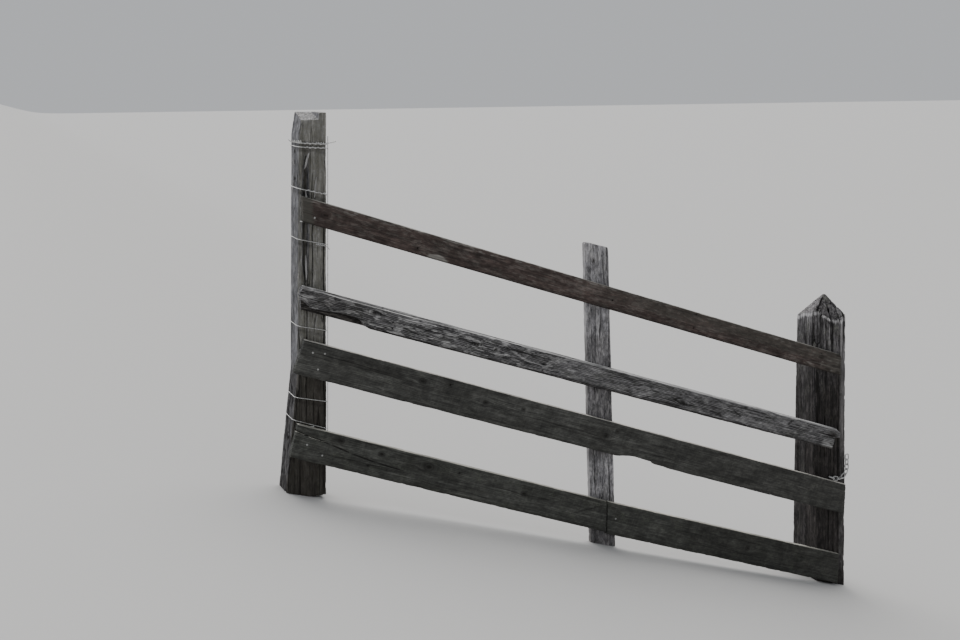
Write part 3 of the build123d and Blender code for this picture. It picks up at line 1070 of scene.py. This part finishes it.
def colour_left_post(wood):
    """Painted shade low on the front, over the left side and in the groove along the long crack, a
    dark foot, a darker low left side, and pale edges and hole rims.
    """
    wood.mark(
        "stain_and_shade",
        # Painted shade low on the front
        0.92 * wood.front * wood.before(380, 620),
        0.75 * wood.left * wood.before(420, 520),
        0.9 * wood.before(40, 240),
        # Painted shade in the groove along the long crack
        0.42 * wood.front * wood.between(720, 1210, 30) * band(wood.below, 60, 82, 6),
        # Painted shade over the whole left side
        0.28 * wood.left,
    )
    rims = wood.near((1068, 86), (18, 8), "left") + 0.7 * wood.near((1155, 78), (10, 7), "left")
    right_edge = band(wood.below, 136, 150, 3) * band(wood.deep, 0, 9, 3) * wood.after(560, 700)
    left_edge = band(wood.deep, 6, 9, 2) * ramp(wood.noise((60, 900, 900), 15), 0.2, 0.5)
    top_cut = ramp(wood.normals[:, 0], 0.4, 0.8) * wood.after(1200, 1260)
    wood.mark("pale", rims, right_edge, 0.9 * wood.left * left_edge, 0.55 * top_cut)
    wood.mark("flaky", 0.15 + 0.3 * wood.front)
    wood.mark("moss", 0.75 * wood.front)


def shadow_below_wires(wood):
    """A thin painted shadow below each wire round the post."""
    right = wood.below - wood.width / 2
    faces = wood.front + 0.6 * wood.left
    for height, slope in wire_heights:
        line = wood.along - height + 7 + right * tan(radians(slope - upright_leans[wood.node]))
        wood.mark("dark", 0.5 * np.exp(-((line / 5) ** 2)) * faces)


def new_board(node, seed, knots=(), holes=(), nails=(), fine=(), knot_tone=0.8, **wear):
    """A board with its knots, wear, holes and nails, finely meshed there and at the fine places."""
    reaches = tuple((*place, nail_reach) for place in nails)
    wood = Wood(node, seed, knots + holes + fine + reaches)
    for along, below, radius in knots:
        knot(wood, (along, below), radius, knot_tone)
    weather(wood, **wear)
    holes_in(wood, holes)
    nail_places.extend((wood, place) for place in nails)
    return wood


def make_slat():
    """The upright board behind the rails, with painted shade from the rails in its middle, darker at
    its foot, and a painted highlight on its left side.
    """
    knots = ((1130, 41, 7),)
    wood = new_board("middle_slat", 13, knots, fine=((1130, 41, 10),), fibre=0.45, swell=0.7, edge=2.5)
    furrows(wood, 0.8, (380, 11, 11), 0.8, cover=0.09, tone=0.5)
    fine_cracks(wood, 6, "front", tone=0.8)
    fine_cracks(wood, 7, "back")
    crack(wood, (912, 3), (867, 5), 3, 4)
    crack(wood, (905, 62), (820, 60), 3, 3, seed=3)
    crack(wood, (760, 30), (600, 33), 3, 3, seed=4)
    # Darker at the foot, and painted shade from the rails in the middle
    wood.mark("stain_and_shade", 0.6 * wood.before(60, 300), 0.42 * wood.between(400, 820, 60))
    rims = 0.9 * wood.near((1152, 30), (14, 7)) + 0.8 * wood.near((1136, 56), (12, 6))
    # Pale rims near the knot, and a painted highlight on the left side
    wood.mark("pale", rims, 0.6 * wood.left)
    wood.mark("flaky", 0.6)
    wood.finish("slat_wood")


def make_top_rail():
    """The narrow dark rail, with a notch in its edge."""
    knots = ((96, 40, 11),)
    holes = ((442, 60, 6), (1239, 47, 6), (1608, 10, 6), (1614, 63, 5), (2232, 19, 6))
    places = dict(knots=knots, holes=holes, nails=((61, 58),), fine=((96, 40, 16),))
    wood = new_board("top_rail", 21, **places, knot_tone=0.7, fibre=0.2, swell=0.5, edge=2.0)
    furrows(wood, 0.6 * wood.after(1500, 2300), (420, 12, 12), 1.0, cover=0.08, tone=0.5)
    fine_cracks(wood, 5, "front", tone=0.6, width=(0.6, 1.4), depth=(0.8, 2))
    fine_cracks(wood, 10, "back")
    crack(wood, (650, 77), (2250, 76), 1.6, 1.5, wobble=3, tone=0.6, seed=9)
    wood.wear(2.2 * wood.near((1024, 0), (9, 9), "top") + 3 * wood.near((1024, 1), (8, 4)))
    scuff_and_highlight_top_rail(wood)
    stain_and_shade_top_rail(wood)
    wood.finish("top_rail_wood")


def scuff_and_highlight_top_rail(wood):
    """A painted highlight on the upper edge, a lost sliver, pale scuffs and speckles."""
    top_edge_highlight(wood, fall(wood.below, 1.5, 4.5), 0.65, lump=40)
    sliver_top = 66 + 6 * wood.noise((25, 900, 900), 16) + 12 * wood.after(540, 575)
    sliver = wood.between(492, 560, 14) * ramp(wood.below, sliver_top, sliver_top + 4) * wood.front
    wood.mark("pale", 0.5 * sliver)
    wood.wear(0.8 * sliver)
    scuffed = ramp(wood.noise((14, 4, 4), 17), -0.1, 0.4)
    for place in top_rail_scuffs:
        wood.mark("pale", 0.35 * wood.near(place, (36, 8)) * scuffed)
    speckled = ramp(wood.noise((16, 5, 5), 18) + 0.5 * wood.noise((120, 20, 20), 19), 0.25, 0.7)
    wood.mark("pale", 0.26 * speckled * fall(wood.below, 4, 24) * wood.front)
    wood.mark("flaky", 0.12)


def stain_and_shade_top_rail(wood):
    """Moss at both ends and on the upper right, a blotchy right end, and painted shade along the lower
    edge.
    """
    wood.mark(
        "moss",
        0.55 * wood.front * fall(wood.below, 34, 62) * wood.after(1000, 1500),
        0.95 * fall(wood.from_left_end(), 26, 44),
        0.7 * wood.after(2180, 2330),
    )
    right_end = wood.after(2080, 2220) * wood.front
    wood.mark("pale", 0.25 * right_end * ramp(wood.noise((18, 6, 6), 26), 0.3, 0.7))
    wood.mark(
        "stain_and_shade",
        0.6 * right_end * ramp(wood.noise((26, 9, 9), 25), 0.05, 0.45),
        # Painted shade along the lower edge
        0.75 * ramp(wood.below, 75, 81),
        0.14 * wood.front * wood.between(1500, 2100, 250),
    )


def make_second_rail():
    """The rail whose layers have come apart, rough and flaking."""
    knots = ((274, 27, 8), (679, 40, 7), (757, 43, 6), (1587, 56, 9))
    holes = ((351, 42, 6), (355, 63, 6), (959, 50, 6), (960, 74, 6), (1564, 29, 5), (2194, 18, 5))
    wood = new_board("second_rail", 22, knots, holes, fibre=0.45, swell=0.8, edge=3.0)
    right_part = wood.front * wood.after(900, 1300)
    left_part = wood.front * wood.before(900, 1300)
    furrows(wood, 0.9 * left_part, (120, 8, 8), 1.6, cover=0.10, tone=0.8)
    furrows(wood, 0.9 * right_part, (420, 9, 9), 1.6, cover=0.07, seed=7, tone=0.85)
    furrows(wood, 0.8 * right_part, (240, 26, 26), 1.2, cover=0.05, seed=9, tone=0.8)
    furrows(wood, 0.8 * wood.front, (320, 17, 17), 2.2, cover=0.07, seed=4, tone=0.9)
    wood.wear(1.2 * wood.front * ramp(wood.noise((60, 12, 12), 12), 0.0, 0.25))
    fine_cracks(wood, 7, "front")
    fine_cracks(wood, 12, "back")
    crack(wood, (1810, 30), (1868, 54), 2.5, 4, wobble=1)
    crack(wood, (2240, 33), (2345, 35), 4, 6, wobble=1.5, seed=2)
    wood.wear(4 * wood.near((1702, 3), (10, 6)))
    colour_second_rail(wood)
    wood.finish("second_rail_wood")


def colour_second_rail(wood):
    """A painted highlight on the upper edge, a dark hind layer, painted shade along the lower edge and
    a stained right end.
    """
    top_edge_highlight(wood, wood.front * fall(wood.below, 4, 9), 0.75, lump=40, strength=0.95)
    wood.mark("flaky", wood.front * (0.62 - 0.42 * wood.after(750, 1300)) + 0.3 * wood.side("back"))
    blotches = 1 - 0.6 * ramp(wood.noise((50, 9, 9), 13), 0.1, 0.4)
    hind_layer = wood.front * band(wood.deep, 14, 24, 2)
    wood.mark(
        "stain_and_shade",
        0.45 * wood.front * wood.before(150, 330) * blotches,
        0.95 * hind_layer * ramp(wood.below, 20, 30),
        # Painted shade along the lower edge
        0.85 * ramp(wood.below, 75, 82),
        wood.near((2326, 28), (26, 15)),
    )
    wood.mark("dark", 0.7 * wood.near((2318, 34), (14, 5)))
    wood.mark("pale", 0.5 * wood.between(2290, 2360, 8) * ramp(wood.below, 52, 60))


def finish_sawn_board(wood, front_cracks, back_cracks, evenness, shaded_edge, slot):
    """A sawn board's drying cracks, a painted highlight on its upper edge, painted shade on its lower
    edge, and stains.
    """
    fine_cracks(wood, front_cracks, "front", **sawn_cracks)
    fine_cracks(wood, back_cracks, "back")
    top_edge_highlight(wood, fall(wood.below, 1.5, 4), evenness)
    blotches = ramp(wood.noise((150, 26, 26), 27), 0.0, 0.6)
    # Painted shade along the lower edge, and blotchy stains
    wood.mark("stain_and_shade", 0.45 * wood.front * ramp(wood.below, *shaded_edge), 0.28 * wood.front * blotches)
    wood.finish(slot, wood_material(wood.node + "_wood"))


def make_third_rail():
    """The wide sawn rail, darker round its wane, with painted shade to the right."""
    knots = ((461, 36, 9), (721, 51, 7), (876, 41, 6), (1242, 58, 8), (1286, 31, 7))
    nails = ((45, 37), (87, 30), (80, 88))
    places = dict(knots=knots, nails=nails, fine=((567, 23, 6),))
    wood = new_board("third_rail", 23, **places, knot_tone=0.7, fibre=0.2, swell=0.5, edge=2.2)
    hole(wood, (567, 23))
    wood.mark(
        "stain_and_shade",
        0.45 * wood.between(150, 370, 40) * band(wood.below, 20, 42, 14) * wood.front,
        0.5 * wood.between(455, 585, 20) * ramp(wood.below, 106, 116) * wood.front,
        0.4 * wood.near((565, 72), (22, 10)),
        # Painted shade towards the lower right end
        0.30 * wood.front * wood.after(1350, 1750),
    )
    finish_sawn_board(wood, 5, 10, 0.75, (108, 120), "third_rail_wood")


def make_bottom_left():
    """The lowest board on the left, split from its left end."""
    knots = ((169, 21, 8), (327, 32, 9), (516, 36, 13), (916, 48, 9))
    holes = ((638, 31, 6), (291, 83, 5))
    nails = ((54, 62), (118, 86))
    split = ((-60, 22), (60, 33), (137, 42), (217, 56), (317, 66), (430, 72))
    wood = new_board("bottom_rail_left", 24, knots, holes, nails, knot_tone=0.85, **bottom_wear)
    crack(wood, (1130, 84), (1262, 16), 2.2, 3, tone=0.8)
    for number, (start, end) in enumerate(zip(split, split[1:])):
        crack(wood, start, end, 5.0, 4, wobble=0.5, seed=number)
    finish_sawn_board(wood, 6, 8, 0.7, (100, 116), "bottom_rail_wood")


def make_bottom_right():
    """The lowest board on the right, with painted shade away from the slat."""
    places = dict(knots=((700, 60, 8),), nails=((58, 60),), fine=((700, 60, 9),))
    wood = new_board("bottom_rail_right", 25, **places, knot_tone=0.7, **bottom_wear)
    # Painted shade away from the slat
    wood.mark("stain_and_shade", 0.4 * wood.front * wood.after(150, 500))
    finish_sawn_board(wood, 6, 8, 0.7, (100, 116), "bottom_rail_wood")


make_camera()
make_ground()
make_lights()
wire_zinc = zinc_material("galvanised_wire")
chain_zinc = zinc_material("chain_steel")
make_right_post()
make_left_post()
make_slat()
make_top_rail()
make_second_rail()
make_third_rail()
make_bottom_left()
make_bottom_right()
make_nails(zinc_material("nail_zinc"))
make_wire_ends(wire_zinc)
finish_wires(wire_zinc, chain_zinc)

bpy.context.view_layer.update()
